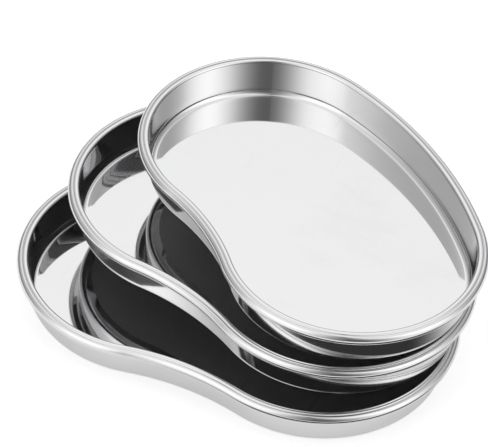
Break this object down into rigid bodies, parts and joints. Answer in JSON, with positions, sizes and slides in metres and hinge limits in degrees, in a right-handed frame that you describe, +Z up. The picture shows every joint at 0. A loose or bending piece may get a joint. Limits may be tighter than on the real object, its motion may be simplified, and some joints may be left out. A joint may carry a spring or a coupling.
{
  "type": "kidney dish",
  "caption": "Shallow kidney-shaped steel dishes with rolled rims, stacked loose and fanned out, each lifting off the one below.",
  "frame": {"origin": "middle of the underside of the lower dish's floor, on the surface the stack stands on", "axes": "+Z up, +X along the length of the lower dish, -Y towards its waist"},
  "size_m": [0.266, 0.2247, 0.0739],
  "materials": {
    "steel": "mirror-polished stainless steel"
  },
  "bodies": {
    "lower": {"lower_dish": "steel"},
    "middle": {"middle_dish": "steel"},
    "upper": {"upper_dish": "steel"}
  },
  "joints": [
    {"name": "middle_lift", "type": "slide", "parent": "lower", "child": "middle", "axis": [0, 0, 1], "range_m": [0, 0.06]},
    {"name": "upper_lift", "type": "slide", "parent": "middle", "child": "upper", "axis": [0, 0, 1], "range_m": [0, 0.06]}
  ]
}
